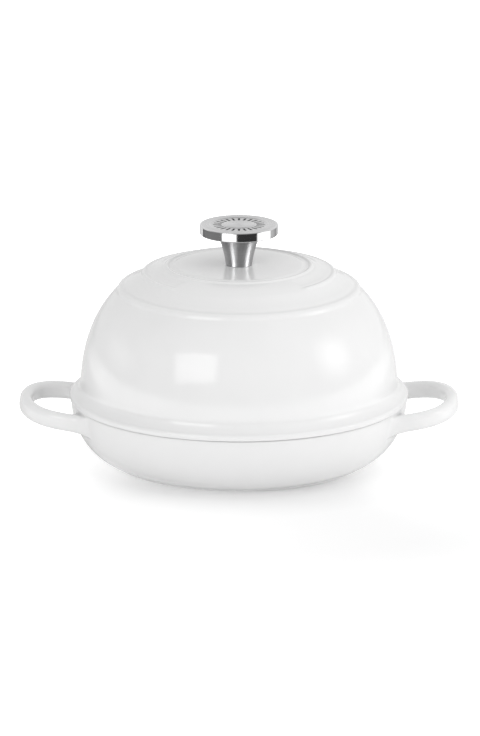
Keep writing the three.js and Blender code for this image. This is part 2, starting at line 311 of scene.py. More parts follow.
@dataclass(frozen=True)
class Enamel:
    """Glass coat fired on cast iron."""

    name: str
    colour: Colour
    drift: Colour
    # Colour of the painted shade that goes on the inner slopes of the lid's rings
    painted_shade: Colour
    gloss: Pair
    wave_depth: float
    wave_scale: float = 26.0
    skin_scale: float = 420.0

    def material(self, groups: SurfaceGroups) -> Material:
        """Makes the coat's material, greyer where the mesh carries painted shade on the lid's rings.

        Args:
            groups: The shared shader groups.

        Returns:
            The material.
        """
        values = {
            "Wave Scale": self.wave_scale,
            "Skin Scale": self.skin_scale,
            "Gloss Low": self.gloss[0],
            "Gloss High": self.gloss[1],
        }
        wiring, glaze, shader = start_material(self.name, groups.glaze, values)
        coat = blend_colour(wiring, glaze["Tone"], self.colour, self.drift)
        # Painted shade: the mesh's mask lays this grey on the inner slopes of the lid's rings
        painted_shade = wiring.add("ShaderNodeAttribute", attribute_name="thin_coat").outputs["Fac"]
        colour = blend_colour(wiring, painted_shade, coat, self.painted_shade)
        wiring.fill(shader, {"Base Color": colour, "Roughness": glaze["Gloss"]})
        raise_surface(wiring, shader, glaze["Height"], self.wave_depth)
        return bpy.data.materials[self.name]


@dataclass(frozen=True)
class Steel:
    """Stainless steel worked on a lathe or plain."""

    name: str
    colour: Colour
    drift: Colour
    gloss: Pair
    mark_depth: float
    mark_scale: float
    stretch: float = 0.0
    quarter_turn: float = 0.25

    def material(self, groups: SurfaceGroups) -> Material:
        """Makes the steel's material, its gloss drawn out across the tool marks.

        Args:
            groups: The shared shader groups.

        Returns:
            The material.
        """
        values = {"Mark Scale": self.mark_scale, "Gloss Low": self.gloss[0], "Gloss High": self.gloss[1]}
        wiring, marks, shader = start_material(self.name, groups.lathe_marks, values)
        inputs = {
            "Base Color": blend_colour(wiring, marks["Tone"], self.colour, self.drift),
            "Metallic": 1.0,
            "Roughness": marks["Gloss"],
            "Anisotropic": self.stretch,
            "Anisotropic Rotation": self.quarter_turn,
        }
        wiring.fill(shader, inputs)
        raise_surface(wiring, shader, marks["Height"], self.mark_depth)
        if self.stretch:
            place = wiring.add("ShaderNodeTexCoord").outputs["Object"]
            axis_first = {0: (0.0, 0.0, 1.0), 1: place}
            around = wiring.add("ShaderNodeVectorMath", axis_first, operation="CROSS_PRODUCT")
            wiring.feed(shader.inputs["Tangent"], around.outputs[0])
        return bpy.data.materials[self.name]


def grey(level: float, blue: float = 0.0) -> Colour:
    """A grey, with some blue added."""
    return level, level, level + blue


class Finishes:
    """Every material of the cloche, made once."""

    def __init__(self) -> None:
        """Makes the materials from their finishes."""
        groups = SurfaceGroups()
        # The third colour of each coat is its painted shade, laid on by the rings' mask, which only the lid's
        # outside carries
        white = Enamel("white_enamel", grey(0.85), grey(0.835), grey(0.3), (0.1, 0.15), 0.1)
        black = Enamel(
            "black_enamel", grey(0.012, 0.001), grey(0.02, 0.001), grey(0.03), (0.28, 0.42), 0.1
        )
        rim = Enamel("bare_rim", grey(0.05, 0.002), (0.075, 0.074, 0.072), grey(0.1), (0.5, 0.65), 0.06)
        worked = (
            Steel("polished_steel", grey(0.66, 0.005), grey(0.63, 0.005), (0.08, 0.11), 0.002, 2600.0, 0.3),
            Steel("turned_steel", grey(0.6, 0.005), grey(0.52, 0.005), (0.24, 0.32), 0.008, 2600.0, 0.6),
            Steel("brushed_steel", grey(0.46, 0.005), grey(0.4, 0.005), (0.46, 0.54), 0.008, 2600.0, 0.95),
            Steel("etched_steel", grey(0.09, 0.005), grey(0.13, 0.005), (0.4, 0.55), 0.02, 900.0),
            Steel("plated_steel", (0.56, 0.57, 0.58), (0.47, 0.48, 0.49), (0.3, 0.45), 0.015, 700.0),
        )
        self.white, self.black, self.rim = (coat.material(groups) for coat in (white, black, rim))
        self.polished, self.turned, self.brushed, self.etched, self.plated = (
            steel.material(groups) for steel in worked
        )

    def casting(self) -> list[Material]:
        """Materials of a casting, in the order of Coat."""
        return [self.white, self.black, self.rim]


class Section:
    """Half section of a turned shape, as (radius, height, finish) stops in millimetres."""

    def __init__(self) -> None:
        """Starts with no stops, in the outside finish."""
        self.stops: list[Stop] = []
        self.finish = int(Coat.OUTSIDE)

    def coat(self, finish: int) -> "Section":
        """Changes the finish of the bands that follow."""
        self.finish = int(finish)
        return self

    def to(self, radius: float, height: float) -> "Section":
        """Adds one stop."""
        self.stops.append((radius, height, self.finish))
        return self

    def through(self, points: Any) -> "Section":
        """Adds a stop at each (radius, height)."""
        for radius, height in points:
            self.to(float(radius), float(height))
        return self

    def run(self, radii: Pair, heights: Pair, count: int) -> "Section":
        """Adds evenly spaced stops on a straight line, both ends included."""
        return self.through(zip(np.linspace(*radii, count), np.linspace(*heights, count)))

    def arc(self, centre: Pair, radii: Pair, turn: Pair, count: int) -> "Section":
        """Adds stops on an oval arc, both ends included.

        Args:
            centre: Radius and height of the arc's centre.
            radii: Half width and half height of the oval.
            turn: First and last angle, in degrees from straight out.
            count: Number of stops.

        Returns:
            The section itself.
        """
        angles = np.radians(np.linspace(*turn, count))
        return self.through(
            zip(centre[0] + radii[0] * np.cos(angles), centre[1] + radii[1] * np.sin(angles))
        )


@dataclass
class Draft:
    """Points and faces of one piece, in millimetres, on their way to a mesh."""

    points: list[Point] = field(default_factory=list)
    faces: list[tuple[int, ...]] = field(default_factory=list)
    finishes: list[int] = field(default_factory=list)

    def add_loop(self, loop: Any) -> Loop:
        """Adds a row of points and gives their numbers."""
        first = len(self.points)
        self.points.extend(tuple(float(value) for value in point) for point in loop)
        return list(range(first, len(self.points)))

    def add_face(self, corners: tuple[int, ...], finish: int) -> None:
        """Adds a face, without corners that fall on one point."""
        self.faces.append(tuple(dict.fromkeys(corners)))
        self.finishes.append(finish)

    def spin(self, section: Section, columns: int, closed: bool, gaps: frozenset = frozenset()) -> list[Loop]:
        """Turns a section about the Z axis.

        Args:
            section: The half section, so directed that its left side is outside.
            columns: Number of steps round the axis.
            closed: Whether the last stop joins the first.
            gaps: (row, column) places that are left open.

        Returns:
            The numbers of the points, row by row.
        """
        angles = np.arange(columns) * 2 * math.pi / columns
        rows: list[Loop] = []
        for radius, height, _ in section.stops:
            if radius == 0:
                rows.append(self.add_loop([(0, 0, height)]) * columns)
                continue
            circle = (radius * np.cos(angles), radius * np.sin(angles), np.full(columns, height))
            rows.append(self.add_loop(np.stack(circle, 1)))
        for row in range(len(rows) if closed else len(rows) - 1):
            here, after = rows[row], rows[(row + 1) % len(rows)]
            for column in range(columns):
                if (row, column) not in gaps:
                    beside = (column + 1) % columns
                    corners = (here[column], here[beside], after[beside], after[column])
                    self.add_face(corners, section.stops[row][2])
        return rows

    def tube(self, loops: list[Loop], finish: int) -> None:
        """Joins loops of equal length, in order along it, into a tube of one finish."""
        for here, after in zip(loops, loops[1:]):
            for place in range(len(here)):
                beside = (place + 1) % len(here)
                self.add_face((here[place], here[beside], after[beside], after[place]), finish)

    def build(self, name: str, materials: list[Material], crease: float = CREASE) -> Piece:
        """Makes the mesh object.

        Args:
            name: The piece's name.
            materials: Its materials, in the order of the faces' finishes.
            crease: Angle, in degrees, past which an edge is sharp.

        Returns:
            The new object, at the origin.
        """
        mesh = bpy.data.meshes.new(name)
        mesh.from_pydata([(x * MM, y * MM, z * MM) for x, y, z in self.points], [], self.faces)
        for material in materials:
            mesh.materials.append(material)
        mesh.polygons.foreach_set("material_index", self.finishes)
        piece = bpy.data.objects.new(name, mesh)
        bpy.context.scene.collection.objects.link(piece)
        smooth(piece, crease)
        return piece


def bezier(corners: Any, t: Any) -> Any:
    """Points of a cubic curve with four corners, at places from 0 to 1."""
    u = 1 - t
    return corners[0] * u**3 + 3 * corners[1] * t * u**2 + 3 * corners[2] * t**2 * u + corners[3] * t**3


def lengths_along(points: np.ndarray) -> np.ndarray:
    """Length of a line of points up to each of them."""
    steps = np.linalg.norm(np.diff(points, axis=0), axis=1)
    return np.concatenate([[0.0], np.cumsum(steps)])


def smooth(piece: Piece, crease: float = CREASE) -> None:
    """Shades a piece smooth, apart from edges sharper than an angle in degrees."""
    piece.data.shade_smooth()
    piece.data.set_sharp_from_angle(angle=math.radians(crease))
    piece.data.update()


def work(piece: Piece, tree: Tree, values: dict[str, Any]) -> None:
    """Runs a Geometry Nodes tree on a piece and keeps the result as its plain mesh.

    Args:
        piece: The piece, linked to the scene.
        tree: The tree.
        values: Its inputs, by name.
    """
    modifier = piece.modifiers.new(tree.name, "NODES")
    modifier.node_group = tree
    for item in tree.interface.items_tree:
        if item.in_out == "INPUT" and item.name in values:
            modifier[item.identifier] = values[item.name]
    depsgraph = bpy.context.evaluated_depsgraph_get()
    plain, worked = piece.data, bpy.data.meshes.new_from_object(piece.evaluated_get(depsgraph))
    piece.modifiers.remove(modifier)
    piece.data = worked
    bpy.data.meshes.remove(plain)
    worked.name = piece.name


def hand_over(piece: Piece, body: Body, slot: Slot, *nodes: str) -> None:
    """Puts a finished piece on its body, in place of the CAD nodes that it stands for."""
    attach(piece, body.value)
    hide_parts(*nodes)
    LOG.info("%s: %d faces on %s", piece.name, len(piece.data.polygons), body.value)


@dataclass
class Handle:
    """One loop handle, swept along a squared-off curve between two places on the pan's wall."""

    side: int
    root: float
    reach: float
    span: float = 89.6
    squareness: float = 3.8
    height: float = 34.9
    tilt: float = math.radians(8)
    band: float = 12.7
    thickness: float = 9.2
    edge: float = 4.2
    root_length: float = 10.0
    stations: int = 120
    corner_steps: int = 3
    nudge: float = 0.4

    def line(self) -> np.ndarray:
        """Middle line of the bar, closely spaced, from its front root to its back root."""
        turn = np.linspace(-math.pi / 2, math.pi / 2, FINE_STEPS)
        reach = self.reach * np.abs(np.cos(turn)) ** (2 / self.squareness)
        across = self.span / 2 * np.sin(turn)
        z = self.height + reach * math.tan(self.tilt)
        return np.stack([self.side * (self.root + reach), self.side * across, z], 1)

    def stops(self, wall: Any) -> tuple[np.ndarray, np.ndarray]:
        """Evenly spaced places along the bar, clear of the wall by the length of the root.

        Args:
            wall: Function from height to the wall's outer radius.

        Returns:
            The places and the directions of travel there.
        """
        line = self.line()
        along = lengths_along(line)
        clear = np.hypot(line[:, 0], line[:, 1]) > np.array([wall(z) for z in line[:, 2]])
        first = along[np.argmax(clear)] + self.root_length
        last = along[len(clear) - 1 - np.argmax(clear[::-1])] - self.root_length
        where = np.linspace(first, last, self.stations)
        places = [
            np.stack([np.interp(where + step, along, line[:, axis]) for axis in range(3)], 1)
            for step in (-self.nudge, 0.0, self.nudge)
        ]
        travel = places[2] - places[0]
        return places[1], travel / np.linalg.norm(travel, axis=1)[:, None]

    def section(self, columns: int, rows: int) -> np.ndarray:
        """Outline of the bar, from its lower outer corner, as (inwards, up) offsets.

        Args:
            columns: Steps along its under and upper sides.
            rows: Steps along its outer and inner sides.

        Returns:
            The offsets, one a row.
        """
        half = np.array([self.thickness / 2 - self.edge, self.band / 2 - self.edge])
        outline: list[np.ndarray] = []
        signs = ((-1, -1), (1, -1), (1, 1), (-1, 1))
        for number, start in enumerate((225, 315, 405, 495)):
            steps = columns if number % 2 == 0 else rows
            flat = steps - 2 * self.corner_steps
            here, after = half * signs[number], half * signs[(number + 1) % 4]
            for step in range(steps):
                bend = 45 * min(step, self.corner_steps) / self.corner_steps
                bend += 45 * max(0, step - self.corner_steps - flat) / self.corner_steps
                angle = math.radians(start + bend)
                share = min(1.0, max(0.0, (step - self.corner_steps) / flat))
                round_off = self.edge * np.array([math.cos(angle), math.sin(angle)])
                outline.append(here + (after - here) * share + round_off)
        return np.array(outline)

    def loops(self, wall: Any, columns: int, rows: int) -> np.ndarray:
        """The bar's outlines, in so many steps across and up, at every place along it."""
        centres, travel = self.stops(wall)
        up = np.array([-self.side * math.sin(self.tilt), 0.0, math.cos(self.tilt)])
        inwards = np.cross(up, travel)
        outline = self.section(columns, rows)
        return centres[:, None] + inwards[:, None] * outline[None, :, :1] + up * outline[None, :, 1:]


@dataclass
class Root:
    """End of a handle's bar, with the columns and rows of the pan's wall that it takes up."""

    handle: Handle
    end: int
    towards: np.ndarray
    left: int
    right: int
    low: int
    high: int

    def gaps(self, columns: int) -> set[tuple[int, int]]:
        """The (row, column) places of the wall that are left open for it."""
        across = range(self.left, self.right)
        return {(row, column % columns) for row in range(self.low, self.high) for column in across}

    def ring(self, rows: list[Loop]) -> Loop:
        """Numbers of the wall's points round the opening, in the order of the bar's outline."""
        size = len(rows[self.low])
        across = [column % size for column in range(self.left, self.right + 1)]
        if self.end:
            across.reverse()
        under = [rows[self.low][column] for column in across[:-1]]
        ahead = [rows[row][across[-1]] for row in range(self.low, self.high)]
        above = [rows[self.high][column] for column in across[:0:-1]]
        behind = [rows[row][across[0]] for row in range(self.high, self.low, -1)]
        return under + ahead + above + behind


@dataclass
class Pan:
    """Shallow pan: white outside, black inside, with concentric ribs and two handles."""

    bore: float = 120.0
    wall: float = 4.0
    floor: float = 4.5
    rim_height: float = 45.6
    rim_round: float = 1.2
    foot: float = 96.3
    foot_height: float = 0.9
    foot_edge: float = 0.3
    foot_stops: tuple[float, ...] = (0.0, 20.0, 40.0, 60.0, 80.0, 90.0, 94.5)
    sweep: float = 38.6
    rib_count: int = 5
    rib_pitch: float = 16.0
    rib_width: float = 5.0
    rib_height: float = 1.2
    rib_stops: int = 9
    hub: float = 8.0
    handle_reach: float = 38.2
    columns: int = 288
    bowl_rows: int = 30
    root_drop: float = 4.0
    inner_flare: float = 10.0
    outer_flare: float = 5.0
    root_steps: int = 10
    probe_steps: tuple[int, int] = (8, 9)
    search_reach: float = 40.0
    search_steps: int = 40

    def __post_init__(self) -> None:
        """Works out the oval that the bowl's section follows."""
        self.rim = self.bore + self.wall
        self.middle = self.rim - self.sweep
        share = (self.foot - self.middle) / self.sweep
        self.depth = (self.rim_height - self.foot_height) / math.sqrt(1 - share * share)

    def outer_radius(self, height: float) -> float:
        """Radius of the pan's outside at a height."""
        drop = min(1.0, max(0.0, (self.rim_height - height) / self.depth))
        return self.middle + self.sweep * math.sqrt(1 - drop * drop)

    def section(self) -> tuple[Section, int]:
        """Half section from the middle of the foot round to the middle of the floor.

        Returns:
            The section, and the number of the first stop on the outer wall.
        """
        section = Section()
        for radius in self.foot_stops:
            section.to(radius, 0.0)
        section.to(self.foot - self.foot_edge, 0.0).to(self.foot, self.foot_edge)
        first = len(section.stops)
        centre = (self.middle, self.rim_height)
        low = math.degrees(math.asin((self.rim_height - self.foot_height) / self.depth))
        high = math.degrees(math.asin(self.rim_round / self.depth))
        section.arc(centre, (self.sweep, self.depth), (-low, -high), self.bowl_rows)
        corner = self.rim_height - self.rim_round
        round_off = (self.rim_round, self.rim_round)
        section.arc((self.rim - self.rim_round, corner), round_off, (15, 60), 4)
        section.coat(Coat.RIM).arc((self.rim - self.rim_round, corner), round_off, (75, 90), 2)
        section.arc((self.bore + self.rim_round, corner), round_off, (90, 150), 5)
        section.coat(Coat.INSIDE)
        depth = self.depth + self.foot_height - self.floor
        low = math.degrees(math.asin((self.rim_height - self.floor) / depth))
        high = math.degrees(math.asin(self.rim_round / depth))
        section.arc(centre, (self.sweep - self.wall, depth), (-high, -low), self.bowl_rows)
        for rib in range(self.rib_count, 0, -1):
            for share in np.linspace(1, -1, self.rib_stops):
                height = self.floor + self.rib_height * (1 + math.cos(math.pi * share)) / 2
                section.to(rib * self.rib_pitch + share * self.rib_width / 2, height)
        section.to(self.hub, self.floor).to(0.0, self.floor)
        return section, first

    def meet_wall(self, points: np.ndarray, travel: np.ndarray) -> np.ndarray:
        """Where lines drawn from points reach the pan's outside.

        Args:
            points: Starts of the lines, outside the wall.
            travel: Their common direction, towards the wall.

        Returns:
            The places on the wall.
        """
        found = []
        for point in points:
            near, far = 0.0, self.search_reach
            for _ in range(self.search_steps):
                middle = (near + far) / 2
                x, y, z = point + travel * middle
                if math.hypot(x, y) > self.outer_radius(z):
                    near = middle
                else:
                    far = middle
            found.append(point + travel * near)
        return np.array(found)

    def opening(self, places: np.ndarray, heights: np.ndarray, end: int) -> tuple[int, int, int, int]:
        """Columns and rows of the wall that a handle's root takes up, wider on the loop's inner side.

        Args:
            places: Where the bar's outline reaches the wall.
            heights: Heights of the wall's rows.
            end: Which end of the bar it is: 0 for the first, -1 for the last.

        Returns:
            First and last column, first and last row.
        """
        step = 2 * math.pi / self.columns
        middle = math.atan2(places[:, 1].mean(), places[:, 0].mean())
        turns = np.arctan2(places[:, 1], places[:, 0]) - middle
        turns = (turns + math.pi) % (2 * math.pi) - math.pi + middle
        before, after = self.outer_flare, self.inner_flare
        if end:
            before, after = after, before
        first = math.floor((turns.min() - before / self.rim) / step)
        last = math.ceil((turns.max() + after / self.rim) / step)
        low = int(np.argmax(heights > places[:, 2].min() - self.root_drop))
        return first, last, low, len(heights) - 1

    def build(self, finishes: Finishes) -> Piece:
        """Makes the pan with both handles as one closed mesh.

        Args:
            finishes: The materials.

        Returns:
            The pan.
        """
        section, first_row = self.section()
        heights = np.array([stop[1] for stop in section.stops[first_row : first_row + self.bowl_rows]])
        draft, roots = Draft(), []
        for side in (1, -1):
            handle = self.handle(side)
            travel = handle.stops(self.outer_radius)[1]
            outlines = handle.loops(self.outer_radius, *self.probe_steps)
            for end, towards in ((0, -travel[0]), (-1, travel[-1])):
                left, right, low, high = self.opening(self.meet_wall(outlines[end], towards), heights, end)
                roots.append(Root(handle, end, towards, left, right, low + first_row, high + first_row))
        gaps = frozenset().union(*(root.gaps(self.columns) for root in roots))
        rows = draft.spin(section, self.columns, False, gaps)
        for front, back in (roots[:2], roots[2:]):
            self.join_handle(draft, rows, front, back)
        return draft.build("pan", finishes.casting())

    def handle(self, side: int) -> Handle:
        """The handle on one side of the pan."""
        root = math.sqrt(self.bore**2 - (Handle.span / 2) ** 2) - self.wall
        reach = self.rim + self.handle_reach - Handle.thickness / 2 - root
        return Handle(side, root, reach)

    def join_handle(self, draft: Draft, rows: list[Loop], front: Root, back: Root) -> None:
        """Sweeps a handle between two openings in the wall, with flared roots.

        Args:
            draft: The pan's draft.
            rows: The numbers of the wall's points, row by row.
            front: The opening that the bar leaves from.
            back: The opening that it comes back to.
        """
        steps = (front.right - front.left, front.high - front.low)
        outlines = front.handle.loops(self.outer_radius, *steps)
        bar = [draft.add_loop(outline) for outline in outlines]
        loops: list[Loop] = []
        for root in (front, back):
            ring, outline = root.ring(rows), outlines[root.end]
            foot = np.array([draft.points[number] for number in ring])
            corner = self.meet_wall(outline, root.towards)
            flare = [draft.add_loop(points) for points in self.flare(foot, corner, outline)]
            loops = [*loops, *reversed(flare), ring] if root.end else [ring, *flare, *bar]
        draft.tube(loops, int(Coat.OUTSIDE))

    def flare(self, foot: np.ndarray, corner: np.ndarray, outline: np.ndarray) -> list[np.ndarray]:
        """Outlines between an opening's foot and a bar's end that round off the corner of the two."""
        near, far = (start + (corner - start) * ROUND_PULL for start in (foot, outline))
        steps = np.linspace(0, 1, self.root_steps + 1)[1:-1]
        return [bezier((foot, near, far, outline), t) for t in steps]


@dataclass
class Ring:
    """One raised ring on the lid, with a shallow groove inside it."""

    radius: float
    height: float
    width: float
    groove_offset: float
    groove_width: float
    groove_depth: float
    opening: float = 0.0
    # Strength of the painted shade on the ring's inner slope; slope_place and slope_reach set where that band
    # sits and how wide it is, as shares of the width
    painted_shade_strength: float = 0.1
    slope_place: float = 0.7
    slope_reach: float = 0.5


def ring_tree() -> Tree:
    """Geometry Nodes that raise one ring out of a lid's outside and lay painted shade on its inner slope.

    Returns:
        The tree.
    """
    numbers = {
        "Radius": 0.05,
        "Height": 0.001,
        "Width": 0.003,
        "Groove Offset": 0.003,
        "Groove Width": 0.002,
        "Groove Depth": 0.0003,
        "Opening": 0.0,
        "Runout": 0.1,
        "Thinning": 0.5,
    }
    shape = "NodeSocketGeometry"
    inputs = {"Lid": shape, **numbers, "Coat": "NodeSocketMaterial"}
    wiring, given, result = new_group("GeometryNodeTree", "raised_ring", inputs, {"Lid": shape})
    size = given.outputs
    east, north, _ = wiring.split(wiring.add("GeometryNodeInputPosition").outputs[0])
    off_front = wiring.math("ABSOLUTE", wiring.bearing(east, north))
    opens = wiring.math("SUBTRACT", size["Opening"], size["Runout"])
    share = wiring.ease(off_front, (opens, size["Opening"]), UNIT, "SMOOTHSTEP")
    from_crest = wiring.math("SUBTRACT", wiring.reach(east, north), size["Radius"])
    from_groove = wiring.math("ADD", from_crest, size["Groove Offset"])
    crest, groove = (
        wiring.ease(wiring.math("ABSOLUTE", off), (0.0, size[width]), (size[depth], 0.0), "SMOOTHERSTEP")
        for off, width, depth in (
            (from_crest, "Width", "Height"),
            (from_groove, "Groove Width", "Groove Depth"),
        )
    )
    stands = wiring.math("MULTIPLY", wiring.attribute("outside"), share)
    height = wiring.math("MULTIPLY", wiring.math("SUBTRACT", crest, groove), stands)
    normal = wiring.add("GeometryNodeInputNormal").outputs[0]
    offset = wiring.add("ShaderNodeVectorMath", {0: normal, "Scale": height}, operation="SCALE").outputs[0]
    # Painted shade: a grey band along the ring's inner slope, stored on the points for the enamel to mix in
    from_slope = wiring.math("MULTIPLY_ADD", size["Width"], Ring.slope_place, from_crest)
    slope_span = (0.0, wiring.math("MULTIPLY", size["Width"], Ring.slope_reach))
    slope = wiring.ease(
        wiring.math("ABSOLUTE", from_slope), slope_span, (size["Thinning"], 0.0), "SMOOTHSTEP"
    )
    painted_shade = wiring.math("MAXIMUM", wiring.math("MULTIPLY", slope, stands), wiring.attribute("thin_coat"))
    marked = wiring.store(size["Lid"], "thin_coat", painted_shade, "POINT")
    moved = wiring.add("GeometryNodeSetPosition", {"Geometry": marked, "Offset": offset}).outputs[0]
    slot = wiring.add("GeometryNodeInputMaterialIndex").outputs[0]
    first_slot = wiring.add("FunctionNodeCompare", {2: slot}, data_type="INT", operation="EQUAL").outputs[0]
    return wiring.end(moved, first_slot, size["Coat"], result)


@dataclass
class Lid:
    """Domed lid: white outside with three raised rings, black inside, with a flange and a locating lip."""

    wall: float = 4.0
    seat: float = 45.6
    crown: float = 145.8
    flange: float = 125.0
    wall_radius: float = 117.2
    dome_foot: float = 51.6
    edge_height: float = 2.3
    upper_round: float = 2.0
    lower_round: float = 0.4
    fillet: float = 9.5
    lip: float = 119.2
    lip_foot: float = 41.6
    lip_chamfer: float = 1.0
    hole: float = 3.4
    hole_round: float = 0.4
    lip_round: float = 0.6
    seat_round: float = 0.4
    crown_radius: float = 44.0
    crown_pull: float = 34.0
    wall_pull: float = 65.0
    ring_runout: float = math.radians(6)
    ring_margin: float = 8.0
    ring_step: float = 0.5
    crown_step: float = 3.0
    hub: float = 8.0
    wall_rows: int = 48
    inner_rows: int = 44
    columns: int = 288
    # Each ring's last number is the strength of the painted shade on its inner slope
    rings: tuple[Ring, ...] = (
        Ring(53.2, 0.95, 2.2, 3.6, 3.4, 0.6, painted_shade_strength=0.22),
        Ring(70.0, 1.0, 2.6, 8.0, 7.0, 0.7, math.radians(46), 0.1),
        Ring(87.8, 1.2, 3.4, 10.0, 8.0, 0.9, painted_shade_strength=0.08),
    )

    def dome(self, places: np.ndarray) -> tuple[np.ndarray, np.ndarray]:
        """The dome's outside, from 0 at the crown to 1 at the flange.

        Args:
            places: Places along it.

        Returns:
            Points and outward directions there, as (radius, height).
        """
        corners = np.array([
            (self.crown_radius, self.crown),
            (self.crown_radius + self.crown_pull, self.crown),
            (self.wall_radius, self.dome_foot + self.wall_pull),
            (self.wall_radius, self.dome_foot),
        ])
        t = places[:, None]
        u = 1 - t
        edges = 3 * np.diff(corners, axis=0)
        along = edges[0] * u**2 + 2 * edges[1] * u * t + edges[2] * t**2
        out = np.stack([-along[:, 1], along[:, 0]], 1)
        return bezier(corners, t), out / np.linalg.norm(out, axis=1)[:, None]

    def fillet_middle(self) -> Pair:
        """Middle of the hollow round between the dome and the flange's rounded edge."""
        radius = self.wall_radius + self.fillet
        across = radius - self.flange + self.upper_round
        rise = math.sqrt((self.fillet + self.upper_round) ** 2 - across**2)
        return radius, self.seat + self.edge_height + rise

    def dome_places(self) -> np.ndarray:
        """Places that the dome is drawn through, from the flange up, closer together at the rings."""
        fine = np.linspace(0, 1, FINE_STEPS)
        points = self.dome(fine)[0]
        foot = np.argmax(points[:, 1] <= self.fillet_middle()[1] + 1)
        edge = np.argmax(points[:, 0] > self.rings[-1].radius + self.ring_margin)
        along = lengths_along(points)
        ring_run = np.arange(0.0, along[edge], self.ring_step)
        wall_run = np.linspace(along[edge], along[foot], self.wall_rows)
        return np.interp(np.concatenate([ring_run, wall_run])[::-1], along, fine)

    def section(self) -> tuple[Section, int, int]:
        """Closed half section, from under the flange's edge over the dome and back inside.

        Returns:
            The section, and the numbers of its first stop on the dome and the first inside it.
        """
        section = Section()
        edge = self.flange - self.lower_round
        section.arc((edge, self.seat + self.lower_round), (self.lower_round,) * 2, (-60, 0), 4)
        outer = (self.flange - self.upper_round, self.seat + self.edge_height)
        middle = self.fillet_middle()
        lean = math.degrees(math.atan2(middle[1] - outer[1], middle[0] - outer[0]))
        section.arc(outer, (self.upper_round,) * 2, (0, lean), 9)
        section.arc(middle, (self.fillet,) * 2, (178 + lean, 184), 14)
        first = len(section.stops)
        section.through(self.dome(self.dome_places())[0])
        flat = self.crown_radius - self.crown_step
        section.run((flat, self.hub), (self.crown, self.crown), 12)
        last = len(section.stops)
        under = self.crown - self.wall
        hole, hole_round = self.hole + self.hole_round, (self.hole_round,) * 2
        section.arc((hole, self.crown - self.hole_round), hole_round, (90, 180), 4)
        section.coat(Coat.INSIDE).arc((hole, under + self.hole_round), hole_round, (180, 270), 4)
        section.run((self.hub, flat), (under, under), 8)
        points, out = self.dome(np.linspace(0, 1, self.inner_rows))
        section.through(points - out * self.wall)
        inner, lip_low = self.wall_radius - self.wall, self.lip_foot + self.lip_round
        section.coat(Coat.RIM).run((inner, inner), (self.seat, lip_low), 2)
        section.arc((inner + self.lip_round, lip_low), (self.lip_round,) * 2, (210, 270), 3)
        section.to(self.lip - self.lip_chamfer, self.lip_foot).to(self.lip, self.lip_foot + self.lip_chamfer)
        corner = (self.lip + self.seat_round, self.seat - self.seat_round)
        section.arc(corner, (self.seat_round,) * 2, (180, 90), 4)
        section.to(self.flange - self.lower_round, self.seat)
        return section, first, last

    def build(self, finishes: Finishes) -> Piece:
        """Makes the lid and raises its rings.

        Args:
            finishes: The materials.

        Returns:
            The lid.
        """
        section, first, last = self.section()
        draft = Draft()
        rows = draft.spin(section, self.columns, True)
        lid = draft.build("lid", finishes.casting())
        outside = np.zeros(len(draft.points), np.float32)
        outside[[number for row in rows[first:last] for number in row]] = 1.0
        # outside marks the dome's outer face; the painted ring shade starts at nothing everywhere
        for name, values in (("outside", outside), ("thin_coat", np.zeros_like(outside))):
            lid.data.attributes.new(name, "FLOAT", "POINT").data.foreach_set("value", values)
        tree = ring_tree()
        for ring in self.rings:
            lengths = {
                "Radius": ring.radius,
                "Height": ring.height,
                "Width": ring.width,
                "Groove Offset": ring.groove_offset,
                "Groove Width": ring.groove_width,
                "Groove Depth": ring.groove_depth,
            }
            angles = {"Opening": ring.opening, "Runout": self.ring_runout}
            finish = {"Thinning": ring.painted_shade_strength, "Coat": finishes.white}
            work(lid, tree, {name: length * MM for name, length in lengths.items()} | angles | finish)
        smooth(lid)
        return lid


def cut_tree() -> Tree:
    """Geometry Nodes that sink a ring of short bars into a flat face.

    Returns:
        The tree.
    """
    numbers = {"Count": 8, "Ring Radius": 0.01, "Length": 0.005, "Width": 0.002, "Depth": 0.001, "Level": 0.0}
    shape = "NodeSocketGeometry"
    inputs = {"Blank": shape, **numbers, "Cut Finish": "NodeSocketMaterial"}
    wiring, given, result = new_group("GeometryNodeTree", "ring_of_cuts", inputs, {"Blank": shape})
    size = given.outputs
    ring = {"Vertices": size["Count"], "Radius": size["Ring Radius"]}
    circle = wiring.add("GeometryNodeMeshCircle", ring).outputs[0]
    east, north, _ = wiring.split(wiring.add("GeometryNodeInputPosition").outputs[0])
    turn = wiring.join(z=wiring.math("ARCTAN2", north, east))
    extent = wiring.join(size["Length"], size["Width"], wiring.math("MULTIPLY", size["Depth"], 2.0))
    bar = wiring.add("GeometryNodeMeshCube", {"Size": extent}).outputs[0]
    copies = {"Points": circle, "Instance": bar, "Rotation": turn}
    bars = wiring.add("GeometryNodeInstanceOnPoints", copies).outputs[0]
    lift = {"Geometry": bars, "Translation": wiring.join(z=size["Level"])}
    lifted = wiring.add("GeometryNodeTransform", lift).outputs[0]
    solid = wiring.add("GeometryNodeRealizeInstances", {0: lifted}).outputs[0]
    meshes = {"Mesh 1": size["Blank"], "Mesh 2": wiring.store(solid, "cut", 1.0, "FACE")}
    cut = wiring.add(
        "GeometryNodeMeshBoolean",
        {**meshes, "Self Intersection": True},
        operation="DIFFERENCE",
        solver="EXACT",
    )
    sunk = wiring.math("GREATER_THAN", wiring.attribute("cut"), 0.5)
    return wiring.end(cut.outputs[0], sunk, size["Cut Finish"], result)


